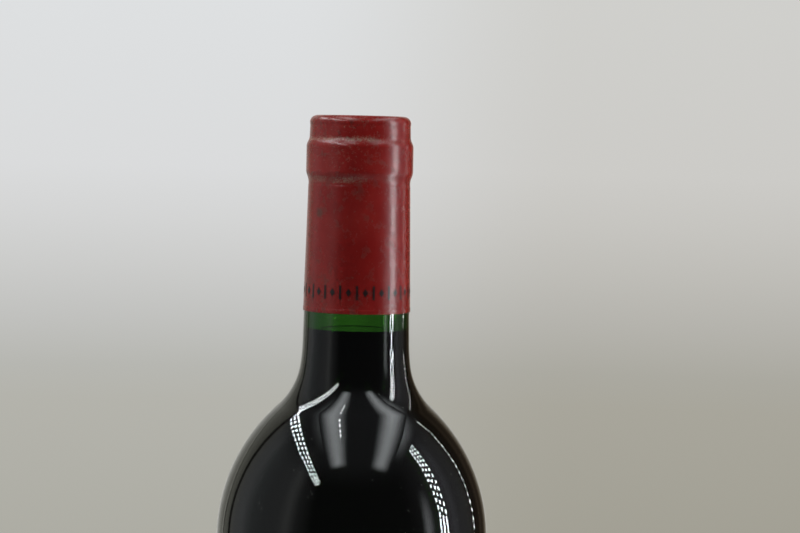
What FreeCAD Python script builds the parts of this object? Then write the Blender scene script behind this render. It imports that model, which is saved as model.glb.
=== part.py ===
"""A sealed 75 cl red wine bottle with square shoulders, as a parametric FreeCAD document.

Frame: +Z runs up the bottle's axis, and the origin is the centre of the ring it stands on.
Three forms are drawn as half-sections and revolved: the bottle's outside, its inside and the
outside of its foil. The parts are cut from them, so the wine fills the cavity and the foil
fits the neck whatever the sizes are.
"""

import FreeCAD, Part

import math
import os

import Sketcher

# Driving dimensions, in millimetres and degrees. A "depth" is measured down from the rim.
SIZES = {
    "bottle_height": 300.0,
    # body, shoulder and neck, outside
    "body_radius": 38.0,
    "shoulder_depth": 118.0,  # top of the straight side
    "shoulder_radius": 50.0,
    "cove_radius": 19.5,  # hollow curve between shoulder and neck
    "flare_radius": 61.0,  # gentle start of that curve
    "flare_turn": 6.0,
    "neck_taper": 1.3,  # each side, widening downwards
    "neck_radius": 13.97,  # just under the finish
    # finish: a lip above a wider band
    "band_proud": 0.73,  # band beyond the neck
    "lip_set_back": 0.8,  # lip inside the band
    "lip_round": 1.8,
    "lip_depth": 6.3,
    "band_top_depth": 7.9,
    "band_foot_depth": 15.7,
    "finish_depth": 17.7,
    "finish_round": 0.6,
    # base and punt, outside
    "heel_radius": 7.0,
    "bearing_width": 2.5,  # flat ring that the bottle stands on
    "foot_round": 3.0,
    "punt_depth": 24.0,
    "punt_set_in": 13.5,  # how much less than the ring the punt's dome measures
    # walls and inside
    "mouth_radius": 9.25,
    "bore_taper": 1.15,
    "body_wall": 3.3,
    "inner_cove_radius": 26.0,
    "base_wall": 6.0,
    "punt_wall": 5.5,
    "valley_radius": 5.0,  # ring where the inside of the base meets the side
    # contents and foil
    "fill_depth": 59.3,
    "foil_wall": 0.2,
    "foil_length": 54.2,
}

FORM_OVERRUN = 5.0  # how far a helper form stands clear of what it cuts
TOLERANCE = 1e-3


def make_sheet(doc):
    """Write the sizes into a spreadsheet, one aliased cell each."""
    sheet = doc.addObject("Spreadsheet::Sheet", "Sizes")
    for row, (alias, value) in enumerate(SIZES.items(), start=1):
        sheet.set(f"A{row}", alias)
        sheet.set(f"B{row}", str(value))
        sheet.setAlias(f"B{row}", alias)
    doc.recompute()
    return sheet


# ---------------------------------------------------------------- plane geometry


def polar(centre, radius, angle):
    """Point at an angle, in radians, on a circle."""
    return (centre[0] + radius * math.cos(angle), centre[1] + radius * math.sin(angle))


def angle_to(centre, point):
    """Angle of a point seen from a centre."""
    return math.atan2(point[1] - centre[1], point[0] - centre[0])


def shifted(point, direction, distance):
    """A point moved along a unit direction."""
    return (point[0] + distance * direction[0], point[1] + distance * direction[1])


def down_wall(taper_degrees):
    """Unit directions down a wall that widens by the taper, and square out of it."""
    taper = math.radians(taper_degrees)
    down = (math.sin(taper), -math.cos(taper))
    return down, (-down[1], down[0])


def line_meets_circle(start, direction, centre, radius):
    """Where a line first comes within a distance of a centre."""
    to_start = (start[0] - centre[0], start[1] - centre[1])
    half_b = to_start[0] * direction[0] + to_start[1] * direction[1]
    c = to_start[0] ** 2 + to_start[1] ** 2 - radius**2
    return shifted(start, direction, -half_b - math.sqrt(half_b**2 - c))


def crossing_tangent(first, first_radius, second, second_radius):
    """Ends of the line that touches the first circle above and the second below."""
    lean = math.acos((first_radius + second_radius) / math.dist(first, second))
    angle = angle_to(first, second) + lean
    return (
        polar(first, first_radius, angle),
        polar(second, second_radius, angle + math.pi),
    )


# ---------------------------------------------------------------- half-sections


class HalfSection:
    """A closed half-section in a sketch on the XZ plane, drawn as one chain from the axis."""

    def __init__(self, body):
        plane = next(
            feature
            for feature in body.Origin.OriginFeatures
            if feature.Role == "XZ_Plane"
        )
        self.body = body
        self.sketch = body.newObject("Sketcher::SketchObject", f"{body.Name}Section")
        self.sketch.AttachmentSupport = (plane, [""])
        self.sketch.MapMode = "FlatFace"
        self.chain = []  # (geometry index, vertex where it starts, vertex where it ends)

    def rule(self, *arguments, expression=None):
        """Add a constraint and bind its value to the sheet."""
        index = self.sketch.addConstraint(Sketcher.Constraint(*arguments))
        if expression:
            self.sketch.setExpression(f"Constraints[{index}]", expression)

    def join(self, piece, smooth):
        """Link a new piece to the end of the chain."""
        if self.chain:
            last, _, end = self.chain[-1]
            kind = "Tangent" if smooth else "Coincident"
            self.rule(kind, last, end, piece[0], piece[1])
        self.chain.append(piece)

    def line(self, start, end, smooth=False):
        """Add a straight piece."""
        first, second = (FreeCAD.Vector(x, z, 0) for x, z in (start, end))
        index = self.sketch.addGeometry(Part.LineSegment(first, second), False)
        self.join((index, 1, 2), smooth)

    def arc(self, centre, start, end, radius_expression, clockwise=False):
        """Add a round piece, tangent to the last, of a radius taken from the sheet."""
        radius = math.dist(centre, start)
        first, last = angle_to(centre, start), angle_to(centre, end)
        if clockwise:
            first, last = last, first
        if last < first:
            last += 2 * math.pi
        up = FreeCAD.Vector(0, 0, 1)
        circle = Part.Circle(FreeCAD.Vector(centre[0], centre[1], 0), up, radius)
        arc = Part.ArcOfCircle(circle, first, last)
        index = self.sketch.addGeometry(arc, False)
        self.join((index, 2, 1) if clockwise else (index, 1, 2), smooth=True)
        self.rule("Radius", index, radius, expression=radius_expression)

    def last_is(self, kind):
        """Make the last line Horizontal or Vertical."""
        self.rule(kind, self.chain[-1][0])

    def last_turns(self, angle, expression):
        """Fix the last line's direction from +X, or how far the last arc turns."""
        self.rule("Angle", self.chain[-1][0], angle, expression=expression)

    def end_at(self, x=None, z=None):
        """Fix the end of the chain; x and z are (value, expression)."""
        index, _, end = self.chain[-1]
        for kind, given in (("DistanceX", x), ("DistanceY", z)):
            if given:
                self.rule(kind, -1, 1, index, end, given[0], expression=given[1])

    def centre_at(self, z):
        """Fix the height of the last arc's centre; z is (value, expression)."""
        self.rule("DistanceY", -1, 1, self.chain[-1][0], 3, z[0], expression=z[1])

    def on_axis(self, vertex):
        """Put a vertex of the last piece on the axis."""
        self.rule("PointOnObject", self.chain[-1][0], vertex, -2)

    def close(self, start, end):
        """Shut the section with a line up the axis."""
        self.line(start, end)
        first, begin, _ = self.chain[0]
        self.rule("Coincident", self.chain[-1][0], 2, first, begin)

    def revolve(self):
        """Turn the section about the axis into a solid."""
        name = f"{self.body.Name}Turned"
        turned = self.body.newObject("PartDesign::Revolution", name)
        turned.Profile = self.sketch
        turned.ReferenceAxis = (self.sketch, ["V_Axis"])
        turned.Angle = 360.0
        self.sketch.Visibility = False
        self.body.Document.recompute()


def round_rings(body, name, places, radius, expression):
    """Fillet a body's circular edges at the given (radius, height) places."""
    base = body.Tip
    names = []
    for number, edge in enumerate(base.Shape.Edges, start=1):
        if edge.Degenerated or not isinstance(edge.Curve, Part.Circle):
            continue
        here = (edge.Curve.Radius, edge.Curve.Center.z)
        if any(math.dist(here, place) < TOLERANCE for place in places):
            names.append(f"Edge{number}")
    fillet = body.newObject("PartDesign::Fillet", name)
    fillet.Base = (base, names)
    fillet.Radius = radius
    fillet.setExpression("Radius", expression)
    body.Document.recompute()


# ---------------------------------------------------------------- the forms


class Skin:
    """How far an outline runs outside the glass, as a number and in expressions."""

    def __init__(self, thickness=0.0, alias=None):
        self.thickness = thickness
        self.term = f"Sizes.{alias}" if alias else ""

    def out(self, expression):
        """The expression plus the thickness."""
        return f"{expression} + {self.term}" if self.term else expression

    def back(self, expression):
        """The expression less the thickness."""
        return f"{expression} - {self.term}" if self.term else expression


def finish_corners(size):
    """Corners of the lip, band and neck: (radius, its expression, depth's alias)."""
    neck = (size["neck_radius"], "Sizes.neck_radius")
    band = (neck[0] + size["band_proud"], f"{neck[1]} + Sizes.band_proud")
    lip = (band[0] - size["lip_set_back"], f"{band[1]} - Sizes.lip_set_back")
    return [
        (*lip, "lip_depth"),
        (*band, "band_top_depth"),
        (*band, "band_foot_depth"),
        (*neck, "finish_depth"),
    ]


def draw_top(section, size, skin):
    """Draw the outline from the top of the axis to the foot of the finish."""
    rim = size["bottle_height"]
    corners = finish_corners(size)
    lip, lip_term, _ = corners[0]
    top = (0.0, rim + skin.thickness)
    edge = (lip + skin.thickness, top[1])
    section.line(top, edge)
    section.on_axis(1)
    section.last_is("Horizontal")
    section.end_at(
        x=(edge[0], skin.out(lip_term)), z=(edge[1], skin.out("Sizes.bottle_height"))
    )
    last = edge
    for radius, term, depth in corners:
        corner = (radius + skin.thickness, rim - size[depth])
        section.line(last, corner)
        section.end_at(
            x=(corner[0], skin.out(term)),
            z=(corner[1], f"Sizes.bottle_height - Sizes.{depth}"),
        )
        last = corner
    return last


def draw_neck_and_shoulder(section, size, skin, start):
    """Draw the neck, flare, cove and shoulder, each tangent to the next."""
    down, out = down_wall(size["neck_taper"])
    flare = size["flare_radius"] - skin.thickness
    cove = size["cove_radius"] - skin.thickness
    shoulder = size["shoulder_radius"] + skin.thickness
    turn = math.radians(size["flare_turn"])
    body_top = (
        size["body_radius"] + skin.thickness,
        size["bottle_height"] - size["shoulder_depth"],
    )
    shoulder_centre = (body_top[0] - shoulder, body_top[1])

    # The cove's centre lies on a line beside the neck, and touches the shoulder's circle.
    aside = flare - (flare - cove) * math.cos(turn)
    beside_start = shifted(start, out, aside)
    cove_centre = line_meets_circle(beside_start, down, shoulder_centre, shoulder + cove)
    opposite = angle_to((0.0, 0.0), out) + math.pi + turn
    flare_end = polar(cove_centre, cove, opposite)
    flare_centre = polar(flare_end, flare, opposite - math.pi)
    neck_end = shifted(flare_centre, out, -flare)
    cove_end = polar(shoulder_centre, shoulder, angle_to(shoulder_centre, cove_centre))

    section.line(start, neck_end)
    section.last_turns(math.atan2(down[1], down[0]), "Sizes.neck_taper * 1deg - 90deg")
    section.arc(flare_centre, neck_end, flare_end, skin.back("Sizes.flare_radius"))
    section.last_turns(turn, "Sizes.flare_turn * 1deg")
    section.arc(cove_centre, flare_end, cove_end, skin.back("Sizes.cove_radius"))
    section.arc(
        shoulder_centre,
        cove_end,
        body_top,
        skin.out("Sizes.shoulder_radius"),
        clockwise=True,
    )
    level = (body_top[1], "Sizes.bottle_height - Sizes.shoulder_depth")
    section.end_at(x=(body_top[0], skin.out("Sizes.body_radius")), z=level)
    section.centre_at(level)
    return body_top


def round_finish(body, size, skin):
    """Round the edges of the lip and band."""
    rim = size["bottle_height"]
    corners = finish_corners(size)
    round_rings(
        body,
        f"{body.Name}LipRound",
        [(corners[0][0] + skin.thickness, rim + skin.thickness)],
        size["lip_round"] + skin.thickness,
        skin.out("Sizes.lip_round"),
    )
    round_rings(
        body,
        f"{body.Name}FinishRounds",
        [(radius + skin.thickness, rim - size[depth]) for radius, _, depth in corners],
        size["finish_round"],
        "Sizes.finish_round",
    )


def bearing_inner(size):
    """Inner radius of the bearing ring, and its expression."""
    return (
        size["body_radius"] - size["heel_radius"] - size["bearing_width"],
        "Sizes.body_radius - Sizes.heel_radius - Sizes.bearing_width",
    )


def punt_dome(size):
    """Radius of the punt's dome, and its expression."""
    radius, term = bearing_inner(size)
    return radius - size["punt_set_in"], f"{term} - Sizes.punt_set_in"


def draw_base(section, size, body_top):
    """Draw the side, heel, bearing ring and punt, down and back to the axis."""
    heel = size["heel_radius"]
    heel_centre = (size["body_radius"] - heel, heel)
    side_end = (size["body_radius"], heel)
    ring_outer = (heel_centre[0], 0.0)
    inner, inner_term = bearing_inner(size)
    ring_inner = (inner, 0.0)
    section.line(body_top, side_end)
    section.last_is("Vertical")
    section.arc(heel_centre, side_end, ring_outer, "Sizes.heel_radius", clockwise=True)
    section.line(ring_outer, ring_inner, smooth=True)
    section.end_at(x=(inner, inner_term))
    for vertex in (1, 2):
        section.rule("PointOnObject", section.chain[-1][0], vertex, -1)

    foot = size["foot_round"]
    dome, dome_term = punt_dome(size)
    foot_centre = (inner, foot)
    apex = (0.0, size["punt_depth"])
    dome_centre = (0.0, apex[1] - dome)
    side_top, side_foot = crossing_tangent(dome_centre, dome, foot_centre, foot)
    section.arc(foot_centre, ring_inner, side_foot, "Sizes.foot_round", clockwise=True)
    section.line(side_foot, side_top, smooth=True)
    section.arc(dome_centre, side_top, apex, dome_term)
    section.on_axis(2)
    section.on_axis(3)
    section.end_at(z=(apex[1], "Sizes.punt_depth"))
    return apex


def make_outside(doc, size):
    """The bottle's outer form, solid inside, with the punt in its base."""
    body = doc.addObject("PartDesign::Body", "Outside")
    section = HalfSection(body)
    glass = Skin()
    neck_top = draw_top(section, size, glass)
    body_top = draw_neck_and_shoulder(section, size, glass, neck_top)
    apex = draw_base(section, size, body_top)
    section.close(apex, (0.0, size["bottle_height"]))
    section.revolve()
    round_finish(body, size, glass)
    return body


def make_foil_form(doc, size):
    """The foil's outer form, carried on over the shoulder so that it can be cut to length."""
    body = doc.addObject("PartDesign::Body", "FoilForm")
    section = HalfSection(body)
    foil = Skin(size["foil_wall"], "foil_wall")
    neck_top = draw_top(section, size, foil)
    body_top = draw_neck_and_shoulder(section, size, foil, neck_top)
    axis_foot = (0.0, body_top[1])
    section.line(body_top, axis_foot)
    section.last_is("Horizontal")
    section.on_axis(2)
    section.close(axis_foot, (0.0, size["bottle_height"] + foil.thickness))
    section.revolve()
    round_finish(body, size, foil)
    return body


def make_inside(doc, size):
    """The cavity's form, which stands out of the mouth."""
    body = doc.addObject("PartDesign::Body", "Inside")
    section = HalfSection(body)
    rim = size["bottle_height"]
    mouth = size["mouth_radius"]
    top = rim + FORM_OVERRUN
    section.line((0.0, top), (mouth, top))
    section.on_axis(1)
    section.last_is("Horizontal")
    section.end_at(
        x=(mouth, "Sizes.mouth_radius"),
        z=(top, f"Sizes.bottle_height + {FORM_OVERRUN}"),
    )
    section.line((mouth, top), (mouth, rim))
    section.last_is("Vertical")
    section.end_at(z=(rim, "Sizes.bottle_height"))

    # Bore, cove and shoulder.
    down, out = down_wall(size["bore_taper"])
    cove = size["inner_cove_radius"]
    shoulder = size["shoulder_radius"] - size["body_wall"]
    shoulder_term = "Sizes.shoulder_radius - Sizes.body_wall"
    body_top = (size["body_radius"] - size["body_wall"], rim - size["shoulder_depth"])
    shoulder_centre = (body_top[0] - shoulder, body_top[1])
    beside_mouth = shifted((mouth, rim), out, cove)
    cove_centre = line_meets_circle(beside_mouth, down, shoulder_centre, shoulder + cove)
    bore_end = shifted(cove_centre, out, -cove)
    cove_end = polar(shoulder_centre, shoulder, angle_to(shoulder_centre, cove_centre))
    section.line((mouth, rim), bore_end)
    section.last_turns(math.atan2(down[1], down[0]), "Sizes.bore_taper * 1deg - 90deg")
    section.arc(cove_centre, bore_end, cove_end, "Sizes.inner_cove_radius")
    section.arc(shoulder_centre, cove_end, body_top, shoulder_term, clockwise=True)
    section.end_at(
        x=(body_top[0], "Sizes.body_radius - Sizes.body_wall"),
        z=(body_top[1], "Sizes.bottle_height - Sizes.shoulder_depth"),
    )

    # Side, the valley round the base and the top of the punt.
    valley = size["valley_radius"]
    valley_centre = (body_top[0] - valley, size["base_wall"] + valley)
    dome, dome_term = punt_dome(size)
    dome += size["punt_wall"]
    apex = (0.0, size["punt_depth"] + size["punt_wall"])
    dome_centre = (0.0, apex[1] - dome)
    side_top, side_foot = crossing_tangent(dome_centre, dome, valley_centre, valley)
    side_end = (body_top[0], valley_centre[1])
    section.line(body_top, side_end, smooth=True)
    section.last_is("Vertical")
    section.arc(valley_centre, side_end, side_foot, "Sizes.valley_radius", clockwise=True)
    section.centre_at((valley_centre[1], "Sizes.base_wall + Sizes.valley_radius"))
    section.line(side_foot, side_top, smooth=True)
    section.arc(dome_centre, side_top, apex, f"{dome_term} + Sizes.punt_wall")
    section.on_axis(2)
    section.on_axis(3)
    section.end_at(z=(apex[1], "Sizes.punt_depth + Sizes.punt_wall"))
    section.close(apex, (0.0, top))
    section.revolve()
    return body


# ---------------------------------------------------------------- the parts


def boolean(doc, kind, label, base, tool):
    """A Part boolean of two forms, named after what it makes."""
    made = doc.addObject(kind, label)
    made.Label = label
    made.Base = base
    made.Tool = tool
    return made


def make_span(doc, name, foot, height):
    """A cylinder wider than the body; foot and height are expressions."""
    span = doc.addObject("Part::Cylinder", name)
    span.setExpression("Radius", f"Sizes.body_radius + {FORM_OVERRUN}")
    span.setExpression("Height", height)
    span.setExpression("Placement.Base.z", foot)
    return span


def make_parts(doc, size):
    """Cut the glass, the wine and the foil from the forms."""
    outside = make_outside(doc, size)
    inside = make_inside(doc, size)
    foil_form = make_foil_form(doc, size)
    filled = make_span(doc, "Filled", "0", "Sizes.bottle_height - Sizes.fill_depth")
    wrapped = make_span(
        doc,
        "Wrapped",
        "Sizes.bottle_height - Sizes.foil_length",
        f"Sizes.foil_length + {FORM_OVERRUN}",
    )
    foil_block = boolean(doc, "Part::Common", "FoilBlock", foil_form, wrapped)
    return [
        boolean(doc, "Part::Cut", "glass_bottle", outside, inside),
        boolean(doc, "Part::Common", "wine", inside, filled),
        boolean(doc, "Part::Cut", "foil_capsule", foil_block, outside),
    ]


def check(doc, parts):
    """Stop if an object failed, a sketch is loose or a part isn't one valid solid."""
    failed = [o.Name for o in doc.Objects if {"Invalid", "Error"} & set(o.State)]
    if failed:
        raise RuntimeError(f"objects that failed to compute: {failed}")
    for sketch in doc.findObjects("Sketcher::SketchObject"):
        if not sketch.FullyConstrained:
            raise RuntimeError(f"{sketch.Name} isn't fully constrained")
    for part in parts:
        shape = part.Shape
        if shape.isNull() or not shape.isValid() or len(shape.Solids) != 1:
            raise RuntimeError(f"{part.Label} isn't one valid solid")


def main():
    """Build the document, check it and write one STEP file for each part."""
    doc = FreeCAD.newDocument("WineBottle")
    sheet = make_sheet(doc)
    size = {alias: float(sheet.get(alias)) for alias in SIZES}
    parts = make_parts(doc, size)
    doc.recompute()
    check(doc, parts)

    os.makedirs("parts", exist_ok=True)
    for part in parts:
        part.Shape.exportStep(os.path.join("parts", f"{part.Label}.step"))
        print(f"{part.Label}: {part.Shape.Volume / 1000.0:.1f} ml")


main()
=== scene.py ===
"""Looks of a sealed bottle of red wine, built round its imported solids.

Everything is in metres, +Z up the bottle's axis, with the ring it stands on at z = 0. The glass,
the wine, the foil, the foil's printed border and the settled dust are pieces of their own.
"""

import logging
import math
import random
from dataclasses import dataclass, field
from enum import Enum

import bmesh
import bpy
from mathutils import Matrix, Vector, noise
from mathutils.bvhtree import BVHTree


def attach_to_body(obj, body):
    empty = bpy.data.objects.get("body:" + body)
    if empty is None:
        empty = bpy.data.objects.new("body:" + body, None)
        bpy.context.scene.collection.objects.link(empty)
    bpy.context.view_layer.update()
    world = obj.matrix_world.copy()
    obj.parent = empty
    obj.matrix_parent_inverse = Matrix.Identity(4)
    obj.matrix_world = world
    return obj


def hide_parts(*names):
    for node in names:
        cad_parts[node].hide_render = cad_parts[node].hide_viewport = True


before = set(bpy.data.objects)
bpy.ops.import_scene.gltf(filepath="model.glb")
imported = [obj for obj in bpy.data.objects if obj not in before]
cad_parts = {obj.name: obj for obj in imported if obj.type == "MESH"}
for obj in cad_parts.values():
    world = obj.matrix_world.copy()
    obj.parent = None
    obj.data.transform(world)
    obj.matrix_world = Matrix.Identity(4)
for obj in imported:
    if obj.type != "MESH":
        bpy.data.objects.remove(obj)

MM = 0.001
COLUMNS = 192  # columns of faces round every turned piece
LOG = logging.getLogger("wine_bottle")

Colour = tuple[float, float, float]
Point = tuple[float, float]  # radius and height on a half-section
Mesh = bmesh.types.BMesh
Piece = bpy.types.Object
Material = bpy.types.Material
Socket = bpy.types.NodeSocket


class Slot(Enum):
    """The record's material slots."""

    GLASS = "glass"
    WINE = "wine"
    FOIL = "foil"


class Node(Enum):
    """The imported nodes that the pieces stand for."""

    GLASS = "glass_bottle"
    WINE = "wine"
    FOIL = "foil_capsule"


# ---- plane geometry


def polar(centre: Point, radius: float, angle: float) -> Point:
    """Return the point at an angle, in radians, on a circle."""
    return (centre[0] + radius * math.cos(angle), centre[1] + radius * math.sin(angle))


def angle_to(centre: Point, point: Point) -> float:
    """Return the angle, in radians, of a point seen from a centre."""
    return math.atan2(point[1] - centre[1], point[0] - centre[0])


def crossing_tangent(first: Point, first_radius: float, second: Point, second_radius: float) -> float:
    """Find the line that touches one circle above and another below.

    Args:
        first: Centre of the circle it touches above.
        first_radius: That circle's radius.
        second: Centre of the circle it touches below.
        second_radius: That circle's radius.

    Returns:
        The angle of the touching point on the first circle; on the second it is half a turn on.
    """
    lean = math.acos((first_radius + second_radius) / math.dist(first, second))
    return angle_to(first, second) + lean


def cove_centre(wall: Point, taper: float, aside: float, shoulder: Point, reach: float) -> Point:
    """Find the centre of the hollow curve between a tapered neck and the shoulder's circle.

    Args:
        wall: A point high on the neck's wall.
        taper: The neck's taper, in radians each side.
        aside: How far the centre lies outside that wall.
        shoulder: Centre of the shoulder's circle.
        reach: Distance between the two centres.

    Returns:
        The centre.
    """
    down = (math.sin(taper), -math.cos(taper))
    start = (wall[0] + aside * -down[1], wall[1] + aside * down[0])
    seen = (start[0] - shoulder[0], start[1] - shoulder[1])
    half = seen[0] * down[0] + seen[1] * down[1]
    run = -half - math.sqrt(half**2 - seen[0] ** 2 - seen[1] ** 2 + reach**2)
    return (start[0] + run * down[0], start[1] + run * down[1])


# ---- turned pieces


class Pen:
    """Draws a half-section on the XZ plane: straight runs are extruded, round ones spun."""

    def __init__(self, start: Point) -> None:
        """Put the pen down at a radius and height."""
        self.mesh = bmesh.new()
        self.tip = self.mesh.verts.new((start[0], 0.0, start[1]))
        self.corners: list[tuple[bmesh.types.BMVert, float, int]] = []

    def line(self, end: Point, steps: int = 1, rounding: float = 0.0, facets: int = 4) -> None:
        """Draw a straight run.

        Args:
            end: Where it ends.
            steps: How many edges it has.
            rounding: How far the corner at its end is cut back when the corners are rounded.
            facets: Facets of that rounding.
        """
        begin, finish = self.tip.co.copy(), Vector((end[0], 0.0, end[1]))
        for step in range(1, steps + 1):
            made = bmesh.ops.extrude_vert_indiv(self.mesh, verts=[self.tip])
            self.tip = made["verts"][0]
            self.tip.co = begin.lerp(finish, step / steps)
        if rounding:
            self.corners.append((self.tip, rounding, facets))

    def arc(self, centre: Point, turn: float, step: float = math.radians(1.5)) -> None:
        """Draw a round run.

        Args:
            centre: Centre of the circle.
            turn: Angle it turns through, in radians, positive from +X towards +Z.
            step: Largest turn of one edge.
        """
        made = bmesh.ops.spin(
            self.mesh,
            geom=[self.tip],
            cent=(centre[0], 0.0, centre[1]),
            axis=(0.0, -1.0, 0.0),
            angle=turn,
            steps=max(2, math.ceil(abs(turn) / step)),
        )
        self.tip = made["geom_last"][0]

    def round_corners(self) -> None:
        """Round the corners that were marked while drawing."""
        for corner, reach, facets in self.corners:
            bmesh.ops.bevel(
                self.mesh,
                geom=[corner],
                offset=reach,
                offset_type="OFFSET",
                segments=facets,
                profile=0.5,
                affect="VERTICES",
                material=-1,
            )
        self.corners = []

    def turned(self) -> Mesh:
        """Turn the half-section about the axis.

        Returns:
            The mesh, with its seam and poles closed and its faces pointing outwards.
        """
        self.round_corners()
        bmesh.ops.spin(
            self.mesh,
            geom=self.mesh.verts[:] + self.mesh.edges[:],
            cent=(0.0, 0.0, 0.0),
            axis=(0.0, 0.0, 1.0),
            angle=math.tau,
            steps=COLUMNS,
            use_merge=True,
        )
        bmesh.ops.remove_doubles(self.mesh, verts=self.mesh.verts[:], dist=0.001 * MM)
        bmesh.ops.recalc_face_normals(self.mesh, faces=self.mesh.faces[:])
        return self.mesh


def make_piece(name: str, mesh: Mesh, *materials: Material) -> Piece:
    """Turn a finished mesh into an object of the scene.

    Args:
        name: The object's name.
        mesh: The mesh, which is freed.
        materials: Its finishes, by material index.

    Returns:
        The object, at the origin, shaded smooth.
    """
    data = bpy.data.meshes.new(name)
    mesh.to_mesh(data)
    mesh.free()
    data.shade_smooth()
    for material in materials:
        data.materials.append(material)
    piece = bpy.data.objects.new(name, data)
    bpy.context.scene.collection.objects.link(piece)
    return piece


def attach(piece: Piece, stands_for: Node | None = None) -> Piece:
    """Make a piece ride with the bottle.

    Args:
        piece: The piece.
        stands_for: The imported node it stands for, if any.

    Returns:
        The piece.
    """
    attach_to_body(piece, "root")
    if stands_for:
        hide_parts(stands_for.value)
    return piece


# ---- node trees


class Nodes:
    """Builds a node tree, one named step at a time."""

    def __init__(self, tree: bpy.types.NodeTree) -> None:
        """Start on an empty tree."""
        tree.nodes.clear()
        self.tree = tree

    def add(self, kind: str, settings: dict | None = None, **sockets: object) -> bpy.types.Node:
        """Add a node.

        Args:
            kind: The node's type name after "ShaderNode".
            settings: Its own properties.
            sockets: Its inputs, by name with _ for a space, or i0, i1... by number. An output
                socket is linked and anything else is set; a colour has three parts.

        Returns:
            The node.
        """
        node = self.tree.nodes.new(f"ShaderNode{kind}")
        for key, value in (settings or {}).items():
            setattr(node, key, value)
        for key, value in sockets.items():
            by_number = key[0] == "i" and key[1:].isdigit()
            target = node.inputs[int(key[1:]) if by_number else key.replace("_", " ")]
            if isinstance(value, Socket):
                self.tree.links.new(value, target)
            elif target.type == "RGBA":
                target.default_value = (*value, 1.0)
            else:
                target.default_value = value
        return node

    def principled(self, volume: Socket | None = None, **sockets: object) -> None:
        """Close a material's tree with a Principled BSDF.

        Args:
            volume: What fills the piece, if anything shows in it.
            sockets: The shader's inputs, as add takes them.
        """
        shader = self.add("BsdfPrincipled", None, **sockets)
        ends = {"Surface": shader.outputs[0], **({"Volume": volume} if volume else {})}
        self.add("OutputMaterial", None, **ends)

    def math(self, operation: str, *values: object) -> Socket:
        """Return the result of a Math node on the values."""
        sockets = {f"i{index}": value for index, value in enumerate(values)}
        return self.add("Math", {"operation": operation}, **sockets).outputs[0]

    def fade(self, value: object, start: float, end: float, low: float = 0.0, high: float = 1.0) -> Socket:
        """Return a smooth step of a value.

        Args:
            value: The value to read.
            start: Where it gives low.
            end: Where it gives high; it may lie below start.
            low: The first result.
            high: The last result.

        Returns:
            The socket that holds the result.
        """
        settings = {"interpolation_type": "SMOOTHSTEP"}
        sockets = dict(i0=value, i1=start, i2=end, i3=low, i4=high)
        if end < start:
            sockets = dict(i0=value, i1=end, i2=start, i3=high, i4=low)
        return self.add("MapRange", settings, **sockets).outputs[0]

    def mix(self, factor: object, first: object, second: object, way: str = "MIX") -> Socket:
        """Return a blend of two colours.

        Args:
            factor: How much of the second it takes.
            first: The first colour.
            second: The second colour.
            way: The node's blend type.

        Returns:
            The socket that holds the colour.
        """
        settings = {"data_type": "RGBA", "blend_type": way}
        return self.add("Mix", settings, i0=factor, i6=first, i7=second).outputs[2]

    def grain(self, where: Socket, size: float, detail: float = 2.0, rough: float = 0.5) -> Socket:
        """Return the value of a Noise Texture.

        Args:
            where: Coordinates.
            size: Width of its patches, in metres.
            detail: How many finer layers it has.
            rough: How strong the finer layers are.

        Returns:
            The socket that holds the value.
        """
        sockets = dict(Vector=where, Scale=1.0 / size, Detail=detail, Roughness=rough)
        return self.add("TexNoise", None, **sockets).outputs[0]

    def place(self) -> tuple[Socket, Socket]:
        """Return the place on the object, as a vector and as a Separate XYZ node's outputs."""
        where = self.add("TexCoord").outputs["Object"]
        return where, self.add("SeparateXYZ", None, i0=where).outputs

    def ramp(self, factor: Socket, stops: list[tuple[float, Colour]]) -> Socket:
        """Return a Color Ramp's colour.

        Args:
            factor: The value to read.
            stops: Its positions, rising, with their colours.

        Returns:
            The socket that holds the colour.
        """
        node = self.add("ValToRGB", None, i0=factor)
        elements = node.color_ramp.elements
        while len(elements) < len(stops):
            elements.new(1.0)
        for element, (position, colour) in zip(elements, stops):
            element.position = position
            element.color = (*colour, 1.0)
        return node.outputs[0]


def new_material(name: str) -> tuple[Material, Nodes]:
    """Return an empty node material and the builder of its tree."""
    material = bpy.data.materials.new(name)
    material.use_nodes = True
    return material, Nodes(material.node_tree)


# ---- finishes


@dataclass(frozen=True)
class GreenGlass:
    """Dark green bottle glass, coloured through its depth, with faint smears on it."""

    absorbed: Colour = (424.0, 248.0, 523.0)  # share of light lost per metre
    ior: float = 1.52
    smear_size: float = 22 * MM
    smear_roughness: float = 0.03

    def make(self) -> Material:
        """Return the material."""
        material, nodes = new_material("green_glass")
        where, _ = nodes.place()
        smears = nodes.grain(where, self.smear_size, 5.0, 0.6)
        density = max(self.absorbed) * 1.05
        kept = tuple(1.0 - share / density for share in self.absorbed)
        depth = nodes.add("VolumeAbsorption", None, Color=kept, Density=density)
        nodes.principled(
            volume=depth.outputs[0],
            Base_Color=(1.0, 1.0, 1.0),
            Roughness=nodes.fade(smears, 0.5, 0.75, 0.0, self.smear_roughness),
            IOR=self.ior,
            Transmission_Weight=1.0,
        )
        return material


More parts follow.
